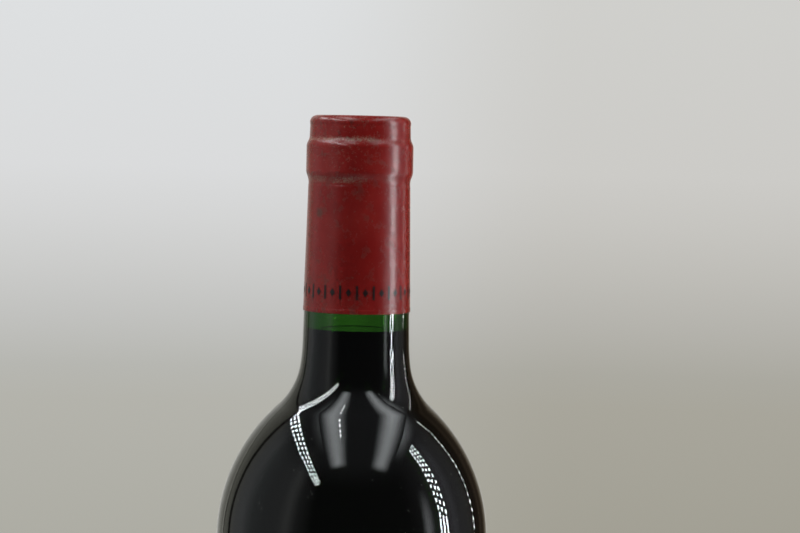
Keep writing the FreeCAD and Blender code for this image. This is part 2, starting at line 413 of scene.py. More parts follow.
@dataclass(frozen=True)
class RedWine:
    """Red wine so deep that it looks black, a little redder where it thins at its edge."""

    deep: Colour = (0.006, 0.0012, 0.0018)
    thin: Colour = (0.03, 0.004, 0.005)
    level: float = 0.0
    edge: float = 2.0 * MM

    def make(self, name: str, specular: float) -> Material:
        """Make one of the wine's two materials.

        Args:
            name: Its name.
            specular: Its specular level: low against glass, which hardly mirrors wine.

        Returns:
            The material.
        """
        material, nodes = new_material(name)
        where, axes = nodes.place()
        cloud = nodes.grain(where, 30 * MM, 2.0)
        body = nodes.mix(cloud, self.deep, tuple(0.6 * part for part in self.deep))
        rim = nodes.fade(axes[2], self.level, self.level + self.edge)
        colour = nodes.mix(rim, body, self.thin)
        nodes.principled(Base_Color=colour, Roughness=0.02, IOR=1.34, Specular_IOR_Level=specular)
        return material


@dataclass(frozen=True)
class RedFoil:
    """Satin red lacquer on foil, with cellar dust in its hollows, dust and a painted highlight round the
    top, specks and dull stains.
    """

    lacquer: Colour = (0.205, 0.006, 0.0045)
    faded: Colour = (0.245, 0.013, 0.010)
    # the dust colour also paints the lighter top rim, where it is partly dust and partly painted highlight
    dust: Colour = (0.36, 0.30, 0.21)
    stain: Colour = (0.045, 0.035, 0.022)
    roughness: float = 0.25
    dusty_side: tuple[float, float] = (-0.80, -0.60)  # the side that dust settled on
    rim: float = 300.0 * MM
    stain_place: tuple[float, float, float] = (-11.0 * MM, -9.8 * MM, 273.3 * MM)

    def make(self) -> Material:
        """Return the material."""
        material, nodes = new_material("red_foil")
        where, axes = nodes.place()
        depth = nodes.math("SUBTRACT", self.rim, axes[2])
        side = self._dusty_side(nodes, axes)
        # the dust cover includes a painted highlight on the top's rounded rim
        dust = self._dust_and_top_highlight(nodes, where, depth, side)
        stains = self._stains(nodes, where, side)
        tone = nodes.grain(where, 9 * MM, 3.0)
        lacquer = nodes.mix(nodes.fade(tone, 0.4, 0.7), self.lacquer, self.faded)
        stained = nodes.mix(stains, lacquer, self.stain)
        colour = nodes.mix(dust, stained, self.dust)
        dull = nodes.math("MAXIMUM", dust, stains)
        grain = nodes.grain(where, 0.35 * MM, 3.0, 0.6)
        soft = nodes.math("MULTIPLY_ADD", grain, 0.10, self.roughness - 0.05)
        rough = nodes.math("MULTIPLY_ADD", dull, 0.45, soft)
        bump = nodes.add(
            "Bump",
            None,
            Height=nodes.math("ADD", grain, nodes.math("MULTIPLY", dust, 0.8)),
            Strength=0.35,
            Distance=0.02 * MM,
        )
        nodes.principled(Base_Color=colour, Roughness=rough, Normal=bump.outputs[0], IOR=1.5)
        return material

    def _dusty_side(self, nodes: Nodes, axes: bpy.types.NodeOutputs) -> Socket:
        """Return 1 on the side that dust settled on, and less round the back."""
        across = nodes.math("MULTIPLY", axes[0], self.dusty_side[0] / (14 * MM))
        along = nodes.math("MULTIPLY_ADD", axes[1], self.dusty_side[1] / (14 * MM), across)
        return nodes.fade(along, -0.5, 0.95, 0.25, 1.0)

    def _band(self, nodes: Nodes, depth: Socket, top: float, foot: float, soft: float) -> Socket:
        """Return a soft-edged band between two depths, in millimetres."""
        upper = nodes.fade(depth, (top - soft) * MM, (top + soft) * MM)
        lower = nodes.fade(depth, (foot + soft * 0.5) * MM, (foot - soft * 0.5) * MM)
        return nodes.math("MULTIPLY", upper, lower)

    def _dust_and_top_highlight(self, nodes: Nodes, where: Socket, depth: Socket, side: Socket) -> Socket:
        """Return the cover of dust under the lip and band and scattered, and of dust with a painted
        highlight round the top.
        """
        speckle = nodes.grain(where, 0.45 * MM, 5.0, 0.8)
        patch = nodes.grain(where, 4.5 * MM, 2.0)
        under_lip = self._band(nodes, depth, 5.3, 7.1, 1.3)
        under_band = nodes.math(
            "MULTIPLY", self._band(nodes, depth, 16.2, 18.6, 0.9), nodes.fade(side, 0.5, 1.0, 0.0, 0.9)
        )
        # dust and a painted highlight on the rounded top, lighter on the dusty side where light from above
        # falls
        top = nodes.math("MULTIPLY", nodes.fade(depth, 2.2 * MM, 0.4 * MM, 0.0, 0.55), side)
        hollows = nodes.math("MAXIMUM", under_lip, nodes.math("MAXIMUM", under_band, top))
        cover = nodes.math("MULTIPLY", hollows, nodes.fade(side, 0.3, 0.95, 0.45, 1.0))
        ragged = nodes.math("MULTIPLY_ADD", patch, 0.5, nodes.math("MULTIPLY", speckle, 2.6))
        settled = nodes.math("MULTIPLY_ADD", cover, 0.75, ragged)
        packed = nodes.fade(settled, 2.05, 2.75, 0.0, 0.85)
        loose_size = nodes.grain(where, 0.8 * MM, 6.0, 0.85)
        near_top = nodes.fade(depth, 34 * MM, 9 * MM, 0.0, 0.035)
        scattered = nodes.math("MULTIPLY_ADD", side, 0.07, nodes.math("ADD", loose_size, near_top))
        loose = nodes.fade(scattered, 0.66, 0.76, 0.0, 0.38)
        return nodes.math("MAXIMUM", packed, loose)

    def _stains(self, nodes: Nodes, where: Socket, side: Socket) -> Socket:
        """Return the cover of dark stains: one named blotch, faint clouds and a few specks."""
        ragged = nodes.grain(where, 1.2 * MM, 4.0, 0.7)
        away = nodes.add("VectorMath", {"operation": "DISTANCE"}, i0=where, i1=self.stain_place)
        edge = nodes.math("MULTIPLY_ADD", ragged, 2.4 * MM, away.outputs["Value"])
        blotch = nodes.fade(edge, 3.0 * MM, 1.9 * MM, 0.0, 0.62)
        cloud = nodes.grain(where, 3.2 * MM, 4.0, 0.65)
        clouds = nodes.math("MULTIPLY", nodes.fade(cloud, 0.52, 0.70, 0.0, 0.42), side)
        pits = nodes.grain(where, 0.8 * MM, 1.0)
        specks = nodes.fade(pits, 0.76, 0.80, 0.0, 0.7)
        return nodes.math("MAXIMUM", nodes.math("MAXIMUM", blotch, clouds), specks)


@dataclass(frozen=True)
class BlackInk:
    """Thin black printing ink, worn a little so that the red shows through."""

    ink: Colour = (0.010, 0.006, 0.006)
    worn: Colour = (0.055, 0.010, 0.009)

    def make(self) -> Material:
        """Return the material."""
        material, nodes = new_material("black_ink")
        where, _ = nodes.place()
        wear = nodes.fade(nodes.grain(where, 0.7 * MM, 4.0, 0.7), 0.52, 0.72)
        nodes.principled(Base_Color=nodes.mix(wear, self.ink, self.worn), Roughness=0.32, IOR=1.5)
        return material


@dataclass(frozen=True)
class SettledDust:
    """Pale grey dust."""

    pale: Colour = (0.46, 0.45, 0.40)
    dark: Colour = (0.22, 0.21, 0.18)

    def make(self) -> Material:
        """Return the material."""
        material, nodes = new_material("settled_dust")
        where, _ = nodes.place()
        tone = nodes.fade(nodes.grain(where, 4 * MM, 2.0), 0.35, 0.65)
        nodes.principled(Base_Color=nodes.mix(tone, self.dark, self.pale), Roughness=0.9)
        return material


# ---- the bottle


@dataclass
class Outline:
    """Sizes shared by the glass and what fits against it."""

    height: float = 300.0 * MM
    body_radius: float = 38.0 * MM
    shoulder_depth: float = 118.0 * MM
    shoulder_radius: float = 50.0 * MM
    cove_radius: float = 19.5 * MM
    flare_radius: float = 61.0 * MM
    flare_turn: float = math.radians(6.0)
    neck_taper: float = math.radians(1.3)
    neck_radius: float = 13.97 * MM
    band_radius: float = 14.7 * MM
    lip_radius: float = 13.9 * MM
    lip_round: float = 1.8 * MM
    lip_depth: float = 6.3 * MM
    band_top_depth: float = 7.9 * MM
    band_foot_depth: float = 15.7 * MM
    finish_depth: float = 17.7 * MM

    @property
    def shoulder_centre(self) -> Point:
        """Centre of the shoulder's curve."""
        return (self.body_radius - self.shoulder_radius, self.height - self.shoulder_depth)

    def neck_at(self, depth: float) -> float:
        """Return the neck's radius at a depth below the rim."""
        return self.neck_radius + (depth - self.finish_depth) * math.tan(self.neck_taper)


@dataclass
class Cavity:
    """The bottle's inside, from the mouth down to the top of the punt."""

    outline: Outline
    mouth_radius: float = 9.25 * MM
    bore_taper: float = math.radians(1.15)
    body_wall: float = 3.3 * MM
    cove_radius: float = 26.0 * MM
    base_wall: float = 6.0 * MM
    valley_radius: float = 5.0 * MM
    punt_top: float = 29.5 * MM
    dome_radius: float = 20.5 * MM

    def bore_at(self, height: float) -> float:
        """Return the bore's radius at a height."""
        return self.mouth_radius + (self.outline.height - height) * math.tan(self.bore_taper)

    def trace_down(self, pen: Pen, grow: float = 0.0) -> None:
        """Draw the inside from the bore, where the pen is, down to the axis.

        Args:
            pen: The pen, on the bore.
            grow: How far outside the real surface to draw.
        """
        centre = self.outline.shoulder_centre
        shoulder = self.outline.shoulder_radius - self.body_wall + grow
        cove = self.cove_radius - grow
        mouth = (self.mouth_radius + grow / math.cos(self.bore_taper), self.outline.height)
        hollow = cove_centre(mouth, self.bore_taper, cove, centre, shoulder + cove)
        bore_end = polar(hollow, cove, math.pi + self.bore_taper)
        lean = angle_to(centre, hollow)
        pen.line(bore_end, steps=12)
        pen.arc(hollow, lean - self.bore_taper)
        pen.arc(centre, -lean)
        side = centre[0] + shoulder
        valley = self.valley_radius + grow
        valley_centre = (side - valley, self.base_wall + self.valley_radius)
        pen.line((side, valley_centre[1]), steps=24)
        dome = self.dome_radius - grow
        dome_centre = (0.0, self.punt_top - self.dome_radius)
        touch = crossing_tangent(dome_centre, dome, valley_centre, valley)
        pen.arc(valley_centre, touch - math.pi, math.radians(5.0))
        pen.line(polar(dome_centre, dome, touch), steps=4)
        pen.arc(dome_centre, math.pi / 2 - touch, math.radians(3.0))


@dataclass
class GlassBottle:
    """The moulded bottle: one wall of green glass, its mould seams and its base."""

    outline: Outline
    cavity: Cavity
    heel_radius: float = 7.0 * MM
    ring_inner: float = 28.5 * MM
    foot_round: float = 3.0 * MM
    punt_depth: float = 24.0 * MM
    dome_radius: float = 15.0 * MM
    nipple_radius: float = 1.1 * MM
    knurl_depth: float = 0.25 * MM
    seam_columns: tuple[int, int] = (11, 107)  # columns of faces that the two seams run along
    seam_half_width: float = 0.28 * MM
    seam_height: float = 0.05 * MM
    ripple_depth: float = 0.05 * MM
    ripple_size: float = 13.0 * MM
    ripple_start: float = 20.0 * MM  # height over which it grows, up from the heel
    finish: GreenGlass = field(default_factory=GreenGlass)

    def trace_base(self, pen: Pen) -> None:
        """Draw the punt, the bearing ring and the heel, out from the axis."""
        rise = -self.nipple_radius / (2 * self.dome_radius)
        pen.arc((0.0, self.punt_depth), math.pi / 2 + math.asin(rise), math.radians(12))
        dome_centre = (0.0, self.punt_depth - self.dome_radius)
        foot_centre = (self.ring_inner, self.foot_round)
        touch = crossing_tangent(dome_centre, self.dome_radius, foot_centre, self.foot_round)
        start = angle_to(dome_centre, (pen.tip.co.x, pen.tip.co.z))
        pen.arc(dome_centre, touch - start, math.radians(3.0))
        pen.line(polar(foot_centre, self.foot_round, touch + math.pi), steps=4)
        pen.arc(foot_centre, math.pi / 2 - touch, math.radians(6.0))
        heel_centre = (self.outline.body_radius - self.heel_radius, self.heel_radius)
        pen.line((heel_centre[0], 0.0), steps=2)
        pen.arc(heel_centre, math.pi / 2, math.radians(3.0))

    def trace_outside(self, pen: Pen) -> None:
        """Draw the side, shoulder, neck and finish, up to the rim and in to the mouth."""
        line = self.outline
        centre = line.shoulder_centre
        pen.line((line.body_radius, centre[1]), steps=24)
        flare, cove = line.flare_radius, line.cove_radius
        aside = flare - (flare - cove) * math.cos(line.flare_turn)
        neck = (line.neck_radius, line.height - line.finish_depth)
        reach = line.shoulder_radius + cove
        hollow = cove_centre(neck, line.neck_taper, aside, centre, reach)
        lean = angle_to(centre, hollow)
        facing = math.pi + line.neck_taper + line.flare_turn
        pen.arc(centre, lean, math.radians(1.0))
        pen.arc(hollow, facing - math.pi - lean, math.radians(1.5))
        flare_end = polar(hollow, cove, facing)
        flare_centre = polar(flare_end, flare, facing - math.pi)
        pen.arc(flare_centre, -line.flare_turn, math.radians(1.0))
        pen.line(neck, steps=14)
        for radius, depth in (
            (line.band_radius, line.band_foot_depth),
            (line.band_radius, line.band_top_depth),
            (line.lip_radius, line.lip_depth),
            (line.lip_radius, line.lip_round),
        ):
            pen.line((radius, line.height - depth))
        lip_centre = (line.lip_radius - line.lip_round, line.height - line.lip_round)
        pen.arc(lip_centre, math.pi / 2, math.radians(12))
        pen.line((self.cavity.mouth_radius, line.height))

    def knurl(self, mesh: Mesh) -> None:
        """Cut the fine teeth of the bearing ring, up from the face that it stands on."""
        heel = self.outline.body_radius - self.heel_radius
        middle = (self.ring_inner + heel) / 2
        for vert in mesh.verts:
            on_ring = abs(vert.co.z) < 0.01 * MM and abs(vert.co.xy.length - middle) < 0.1 * MM
            column = round(math.atan2(vert.co.y, vert.co.x) / math.tau * COLUMNS)
            if on_ring and column % 2:
                vert.co.z += self.knurl_depth

    def ripple(self, mesh: Mesh) -> None:
        """Give the outside the faint unevenness of moulded glass, always inwards."""
        for vert in self.outer_verts(mesh):
            broad = noise.noise(vert.co / self.ripple_size)
            sway = broad + 0.5 * noise.noise(vert.co / (0.45 * self.ripple_size))
            share = min(1.0, (vert.co.z - self.heel_radius) / self.ripple_start)
            vert.co -= vert.normal * self.ripple_depth * share * (0.5 - 0.33 * sway)

    def outer_verts(self, mesh: Mesh) -> list[bmesh.types.BMVert]:
        """Return the points of the outside between the heel and the finish."""
        line = self.outline
        top = line.height - line.finish_depth
        return [
            vert
            for vert in mesh.verts
            if self.heel_radius < vert.co.z < top
            and vert.normal.dot(Vector((vert.co.x, vert.co.y, 0.2 * vert.co.xy.length))) > 0
            and vert.co.xy.length > self.cavity.bore_at(vert.co.z) + 2.0 * MM
        ]

    def seam(self, mesh: Mesh) -> None:
        """Raise a fine ridge up each side, where the mould's halves met."""
        for column in self.seam_columns:
            angle = column * math.tau / COLUMNS
            along = Vector((math.cos(angle), math.sin(angle), 0.0))
            across = Vector((-along.y, along.x, 0.0))
            for shift in (-self.seam_half_width, self.seam_half_width):
                half = [f for f in mesh.faces if f.calc_center_median().dot(along) > 0]
                edges = {edge for face in half for edge in face.edges}
                verts = {vert for face in half for vert in face.verts}
                bmesh.ops.bisect_plane(
                    mesh,
                    geom=[*verts, *edges, *half],
                    dist=0.0005 * MM,
                    plane_co=across * shift,
                    plane_no=across,
                )
            for vert in self.outer_verts(mesh):
                if abs(vert.co.dot(across)) < 0.02 * MM and vert.co.dot(along) > 0:
                    vert.co += vert.normal * self.seam_height

    def build(self) -> Piece:
        """Return the dressed piece."""
        pen = Pen((0.0, self.punt_depth - self.nipple_radius))
        self.trace_base(pen)
        self.trace_outside(pen)
        self.cavity.trace_down(pen)
        mesh = pen.turned()
        mesh.normal_update()
        self.knurl(mesh)
        self.ripple(mesh)
        self.seam(mesh)
        return attach(make_piece("bottle_glass", mesh, self.finish.make()), Node.GLASS)


@dataclass
class Wine:
    """The wine up to its level in the neck, reaching just into the glass."""

    cavity: Cavity
    fill_depth: float = 59.3 * MM
    reach: float = 0.12 * MM
    creep_width: float = 0.4 * MM
    creep_height: float = 0.15 * MM
    creep_steps: int = 6
    surface_specular: float = 0.5
    side_specular: float = 0.08

    @property
    def level(self) -> float:
        """Height of the wine's surface."""
        return self.cavity.outline.height - self.fill_depth

    def build(self) -> Piece:
        """Return the dressed piece."""
        wall = self.cavity.bore_at(self.level) + self.reach
        pen = Pen((0.0, self.level))
        pen.line((wall - self.creep_width, self.level), steps=6)
        for step in range(1, self.creep_steps + 1):
            share = step / self.creep_steps
            climb = self.creep_height * share**2.6
            pen.line((wall - self.creep_width * (1 - share), self.level + climb))
        self.cavity.trace_down(pen, self.reach)
        mesh = pen.turned()
        for face in mesh.faces:
            face.material_index = 0 if face.calc_center_median().z > self.level - 0.01 * MM else 1
        finish = RedWine(level=self.level)
        surface = finish.make("wine_surface", self.surface_specular)
        side = finish.make("wine_side", self.side_specular)
        return attach(make_piece("wine_fill", mesh, surface, side), Node.WINE)


@dataclass
class FoilCapsule:
    """The red foil over the finish and neck: one thin sheet pressed to the glass."""

    outline: Outline
    proud: float = 0.20 * MM  # outside of the foil beyond the glass
    sheet: float = 0.15 * MM
    length: float = 54.2 * MM
    corner_round: float = 2.0 * MM
    rim_ring: float = 11.6 * MM
    disc_dip: float = 0.10 * MM
    lip_depth: float = 6.2 * MM
    roll_depth: float = 2.5 * MM  # foot of the rolled edge round the top
    roll_step: float = 0.10 * MM
    crease_depth: float = 19.2 * MM
    hem_depth: float = 53.1 * MM
    hem_step: float = 0.05 * MM
    dent_depth: float = 0.045 * MM
    dent_size: float = 6.0 * MM
    dent_inner: float = 12.5 * MM  # the flat top inside this radius keeps its shape
    finish: RedFoil = field(default_factory=RedFoil)

    def radius_at(self, depth: float) -> float:
        """Return the foil's outer radius on the neck, at a depth below the rim."""
        return self.outline.neck_at(depth) + self.proud

    def trace(self) -> Pen:
        """Draw the outside of the foil, from the middle of its top to its lower edge."""
        line = self.outline
        top = line.height + self.proud
        lip = line.lip_radius + self.proud
        band = line.band_radius + self.proud
        high = line.height
        disc = top - self.disc_dip
        hem = self.radius_at(self.hem_depth)
        crease = self.radius_at(self.crease_depth)
        foot = self.radius_at(self.length) + self.hem_step
        corner = (lip - self.corner_round, top - self.corner_round)
        pen = Pen((0.0, disc))
        pen.line((self.rim_ring - 0.7 * MM, disc), 10, 0.2 * MM)
        pen.line((self.rim_ring - 0.3 * MM, top - 1.6 * self.disc_dip), 1, 0.12 * MM)
        pen.line((self.rim_ring, top), 1, 0.15 * MM)
        pen.line((corner[0], top))
        pen.arc(corner, -math.pi / 2, math.radians(7.5))
        for radius, height, steps, rounding in (
            (lip - self.roll_step, high - self.roll_depth, 2, 0.15),
            (lip, high - self.lip_depth, 8, 0.55),
            (band, high - line.band_top_depth, 2, 0.6),
            (band, high - line.band_foot_depth, 14, 0.6),
            (self.radius_at(line.finish_depth), high - line.finish_depth, 2, 0.7),
            (crease - 0.05 * MM, high - self.crease_depth + 0.25 * MM, 2, 0.1),
            (crease + 0.02 * MM, high - self.crease_depth, 1, 0.1),
            (hem - 0.02 * MM, high - self.hem_depth + 0.2 * MM, 56, 0.08),
            (hem + self.hem_step, high - self.hem_depth, 1, 0.08),
            (foot, high - self.length + 0.15 * MM, 2, 0.0),
            (foot - 0.04 * MM, high - self.length, 1, 0.0),
        ):
            pen.line((radius, height), steps, rounding * MM)
        return pen

    def dent(self, mesh: Mesh) -> None:
        """Press the faint dents and upright ripples of a spun foil into it."""
        for vert in mesh.verts:
            out = Vector((vert.co.x, vert.co.y, 0.0))
            if out.length < self.dent_inner:
                continue
            stretched = Vector((vert.co.x, vert.co.y, vert.co.z * 0.45)) / self.dent_size
            sway = noise.noise(stretched) + 0.35 * noise.noise(stretched * 3.1)
            fine = noise.noise(Vector((vert.co.x, vert.co.y, vert.co.z * 0.12)) / (2.2 * MM))
            vert.co += out.normalized() * self.dent_depth * (0.75 * sway + 0.2 * fine)

    def build(self) -> Piece:
        """Return the dressed piece."""
        mesh = self.trace().turned()
        highest = max(mesh.faces, key=lambda face: face.calc_center_median().z)
        if highest.normal.z < 0:
            bmesh.ops.reverse_faces(mesh, faces=mesh.faces[:])
        self.dent(mesh)
        bmesh.ops.solidify(mesh, geom=mesh.faces[:], thickness=self.sheet)
        return attach(make_piece("foil_sheet", mesh, self.finish.make()), Node.FOIL)


class Motif(Enum):
    """Shapes of the printed border."""

    BAR = "bar"
    LOZENGE = "lozenge"


@dataclass
class PrintedBorder:
    """A plain border of upright bars and lozenges, printed round the foil above its edge."""

    foil: FoilCapsule
    top_depth: float = 46.4 * MM
    height: float = 3.8 * MM
    repeats: int = 20
    bar_width: float = 0.62 * MM
    lozenge_width: float = 1.5 * MM
    lozenge_height: float = 2.3 * MM
    lift: float = 0.06 * MM
    ink: BlackInk = field(default_factory=BlackInk)

    def stamp(self, mesh: Mesh, motif: Motif, across: float) -> None:
        """Lay one motif flat, centred at a distance along the border."""
        wide, high, columns, turn = self.bar_width, self.height, 2, Matrix.Identity(4)
        if motif is Motif.LOZENGE:
            wide, high, columns = self.lozenge_width, self.lozenge_height, 6
            turn = Matrix.Rotation(math.pi / 4, 4, "Z") @ Matrix.Scale(math.sqrt(0.5), 4)
        place = Matrix.Translation((across, 0.0, 0.0))
        matrix = place @ Matrix.Diagonal((wide / 2, high / 2, 1.0, 1.0)) @ turn
        bmesh.ops.create_grid(mesh, x_segments=columns, y_segments=6, size=1.0, matrix=matrix)

    def wrap(self, mesh: Mesh) -> None:
        """Bend the flat border round the foil."""
        middle = self.top_depth + self.height / 2
        around = self.foil.radius_at(middle)
        for vert in mesh.verts:
            angle = vert.co.x / around - math.pi / 2
            depth = middle - vert.co.y
            radius = self.foil.radius_at(depth) + self.lift
            height = self.foil.outline.height - depth
            vert.co = (radius * math.cos(angle), radius * math.sin(angle), height)

    def build(self) -> Piece:
        """Return the dressed piece."""
        mesh = bmesh.new()
        around = math.tau * self.foil.radius_at(self.top_depth + self.height / 2)
        pitch = around / self.repeats
        for repeat in range(self.repeats):
            for share, motif in enumerate(Motif):
                self.stamp(mesh, motif, (repeat + 0.5 * share) * pitch)
        self.wrap(mesh)
        bmesh.ops.recalc_face_normals(mesh, faces=mesh.faces[:])
        for face in mesh.faces:
            if face.normal.dot(face.calc_center_median() * Vector((1.0, 1.0, 0.0))) < 0:
                face.normal_flip()
        return attach(make_piece("foil_print", mesh, self.ink.make()))


@dataclass
class DustOnGlass:
    """Loose specks of dust on the neck and shoulder of the glass."""

    seed: int = 7
    count: int = 560
    smallest: float = 0.05 * MM
    largest: float = 0.15 * MM
    low: float = 140.0 * MM
    high: float = 236.0 * MM
    finish: SettledDust = field(default_factory=SettledDust)

    def build(self, glass: Piece, outline: Outline) -> Piece:
        """Scatter the specks over the outside of the glass.

        Args:
            glass: The glass piece.
            outline: The bottle's sizes.

        Returns:
            The dressed piece.
        """
        chance = random.Random(self.seed)
        corners = [vertex.co for vertex in glass.data.vertices]
        skin = BVHTree.FromPolygons(corners, [polygon.vertices for polygon in glass.data.polygons])
        limit = outline.body_radius - 0.2 * MM
        mesh = bmesh.new()
        for _ in range(self.count):
            bearing = chance.random() * math.tau
            height = chance.triangular(self.low, self.high, self.low)
            radius = self.smallest + (self.largest - self.smallest) * chance.random() ** 3
            stretch = Matrix.Diagonal((1.0, 0.5 + 0.8 * chance.random(), 0.35, 1.0))
            spin = Matrix.Rotation(chance.random() * math.tau, 4, "Z")
            outward = Vector((math.cos(bearing), math.sin(bearing), 0.0))
            start = 3 * outline.body_radius * outward + Vector((0.0, 0.0, height))
            place, normal, _, _ = skin.ray_cast(start, -outward)
            if place is None or max(abs(place.x), abs(place.y)) > limit:
                continue
            turn = normal.to_track_quat("Z", "Y").to_matrix().to_4x4()
            matrix = Matrix.Translation(place) @ turn @ spin @ stretch
            bmesh.ops.create_icosphere(mesh, subdivisions=1, radius=radius, matrix=matrix)
        return attach(make_piece("glass_dust", mesh, self.finish.make()))


# ---- the studio


@dataclass
class Backdrop:
    """Pale walls: what the camera sees, and what the surfaces mirror."""

    low: Colour = (0.420, 0.415, 0.370)
    middle: Colour = (0.600, 0.602, 0.592)
    high: Colour = (0.730, 0.745, 0.755)
    shade: Colour = (0.86, 0.84, 0.80)  # what the right side keeps of the wall's tone
    overhead: Colour = (0.12, 0.125, 0.135)

    def build(self) -> None:
        """Build the world."""
        world = bpy.data.worlds.new("pale_walls")
        world.use_nodes = True
        nodes = Nodes(world.node_tree)
        direction = nodes.add("SeparateXYZ", None, i0=nodes.add("TexCoord").outputs["Generated"])
        x, y, z = direction.outputs
        rise = nodes.math("MULTIPLY_ADD", z, 2.0, 0.5)
        wall = nodes.ramp(
            rise,
            [
                (0.15, self.low),
                (0.27, (0.455, 0.450, 0.410)),
                (0.30, (0.470, 0.470, 0.440)),
                (0.345, (0.535, 0.536, 0.520)),
                (0.39, self.middle),
                (0.435, (0.658, 0.662, 0.660)),
                (0.48, (0.703, 0.710, 0.716)),
                (0.63, self.high),
            ],
        )
        seen = nodes.mix(nodes.fade(x, -0.04, 0.10), wall, nodes.mix(1.0, wall, self.shade, "MULTIPLY"))
        path = nodes.add("LightPath").outputs
        straight = nodes.math("MAXIMUM", path["Is Camera Ray"], path["Is Transmission Ray"])
        mirrored = self._mirrored(nodes, x, y, z)
        light = nodes.mix(straight, mirrored, seen)
        background = nodes.add("Background", None, Color=light, Strength=1.0)
        nodes.add("OutputWorld", None, Surface=background.outputs[0])
        bpy.context.scene.world = world

    def _mirrored(self, nodes: Nodes, x: Socket, y: Socket, z: Socket) -> Socket:
        """Return the walls as the surfaces mirror them: pale behind and beside, dark in front."""
        turn = nodes.math("ARCTAN2", x, y)
        around = nodes.math("MULTIPLY_ADD", turn, 1 / math.tau, 0.5)
        walls = nodes.ramp(
            around,
            [
                (bearing / 360 + 0.5, colour)
                for bearing, colour in (
                    (-180, (0.04, 0.04, 0.045)),
                    (-145, (0.04, 0.04, 0.045)),
                    (-131, (0.16, 0.165, 0.17)),
                    (-122, (0.46, 0.47, 0.47)),
                    (-113, (0.30, 0.31, 0.32)),
                    (-98, (0.26, 0.275, 0.285)),
                    (-84, (0.29, 0.31, 0.32)),
                    (-72, (0.44, 0.46, 0.47)),
                    (-62, (0.36, 0.37, 0.37)),
                    (-55.5, (0.36, 0.36, 0.33)),
                    (-54, (0.03, 0.03, 0.03)),
                    (-51.5, (0.03, 0.03, 0.03)),
                    (-50, (0.34, 0.34, 0.29)),
                    (-32, (0.42, 0.42, 0.37)),
                    (-16, (0.62, 0.62, 0.58)),
                    (10, (0.60, 0.59, 0.54)),
                    (20, (0.30, 0.26, 0.20)),
                    (27, (0.10, 0.075, 0.05)),
                    (33, (0.06, 0.045, 0.03)),
                    (38, (0.11, 0.08, 0.055)),
                    (43, (0.045, 0.035, 0.025)),
                    (53, (0.07, 0.06, 0.05)),
                    (57, (0.16, 0.15, 0.14)),
                    (66, (0.21, 0.21, 0.21)),
                    (74, (0.24, 0.24, 0.25)),
                    (82, (0.42, 0.42, 0.46)),
                    (92, (0.20, 0.20, 0.21)),
                    (112, (0.12, 0.12, 0.13)),
                    (130, (0.05, 0.05, 0.055)),
                    (180, (0.04, 0.04, 0.045)),
                )
            ],
        )
        return nodes.mix(nodes.fade(z, 0.55, 0.85), walls, self.overhead)


class Pattern(Enum):
    """How a lamp's face is lit."""

    DOTS = "dots"
    SOFT = "soft"


@dataclass
class Lamp:
    """A rectangular lamp that the camera doesn't see."""

    name: str
    place: Vector
    target: Vector
    size: tuple[float, float]  # across, and along the given direction
    along: Vector
    radiance: float
    pattern: Pattern = Pattern.SOFT
    dots: tuple[int, int] = (1, 1)  # across and along
    soft_edge: tuple[float, float] = (0.3, 0.3)
    tint: Colour = (1.0, 1.0, 1.0)

    def build(self) -> Piece:
        """Return the lamp."""
        data = bpy.data.lights.new(self.name, "AREA")
        data.shape = "RECTANGLE"
        data.size, data.size_y = self.size
        data.energy = self.radiance * math.pi * self.size[0] * self.size[1]
        data.color = self.tint
        data.use_nodes = True
        nodes = Nodes(data.node_tree)
        face = nodes.add("NewGeometry").outputs["Parametric"]
        u, v, _ = nodes.add("SeparateXYZ", None, i0=face).outputs
        lit = self._dots(nodes, u, v) if self.pattern is Pattern.DOTS else self._soft(nodes, u, v)
        glow = nodes.add("Emission", None, Strength=lit)
        nodes.add("OutputLight", None, Surface=glow.outputs[0])
        lamp = bpy.data.objects.new(self.name, data)
        back = (self.place - self.target).normalized()
        up = (self.along - back * self.along.dot(back)).normalized()
        right = up.cross(back)
        facing = Matrix((right, up, back)).transposed().to_4x4()
        lamp.matrix_world = Matrix.Translation(self.place) @ facing
        lamp.visible_camera = False
        bpy.context.scene.collection.objects.link(lamp)
        return lamp

    def _dots(self, nodes: Nodes, u: Socket, v: Socket) -> Socket:
        """Return rows of lit dots."""
        column = nodes.math("MULTIPLY", u, float(self.dots[0]))
        lean = nodes.math("MULTIPLY", nodes.math("FLOOR", column), 0.5)
        row = nodes.math("MULTIPLY_ADD", v, float(self.dots[1]), lean)
        spread = []
        for value in (column, row):
            middle = nodes.math("SUBTRACT", nodes.math("FRACT", value), 0.5)
            spread.append(nodes.math("MULTIPLY", middle, middle))
        away = nodes.math("SQRT", nodes.math("ADD", *spread))
        return nodes.fade(away, 0.34, 0.22)

    def _soft(self, nodes: Nodes, u: Socket, v: Socket) -> Socket:
        """Return a face that fades towards its edges."""
        fades = []
        for value, edge in ((u, self.soft_edge[0]), (v, self.soft_edge[1])):
            middle = nodes.math("ABSOLUTE", nodes.math("SUBTRACT", value, 0.5))
            fades.append(nodes.fade(middle, 0.5, 0.5 - edge))
        return nodes.math("MULTIPLY", *fades)


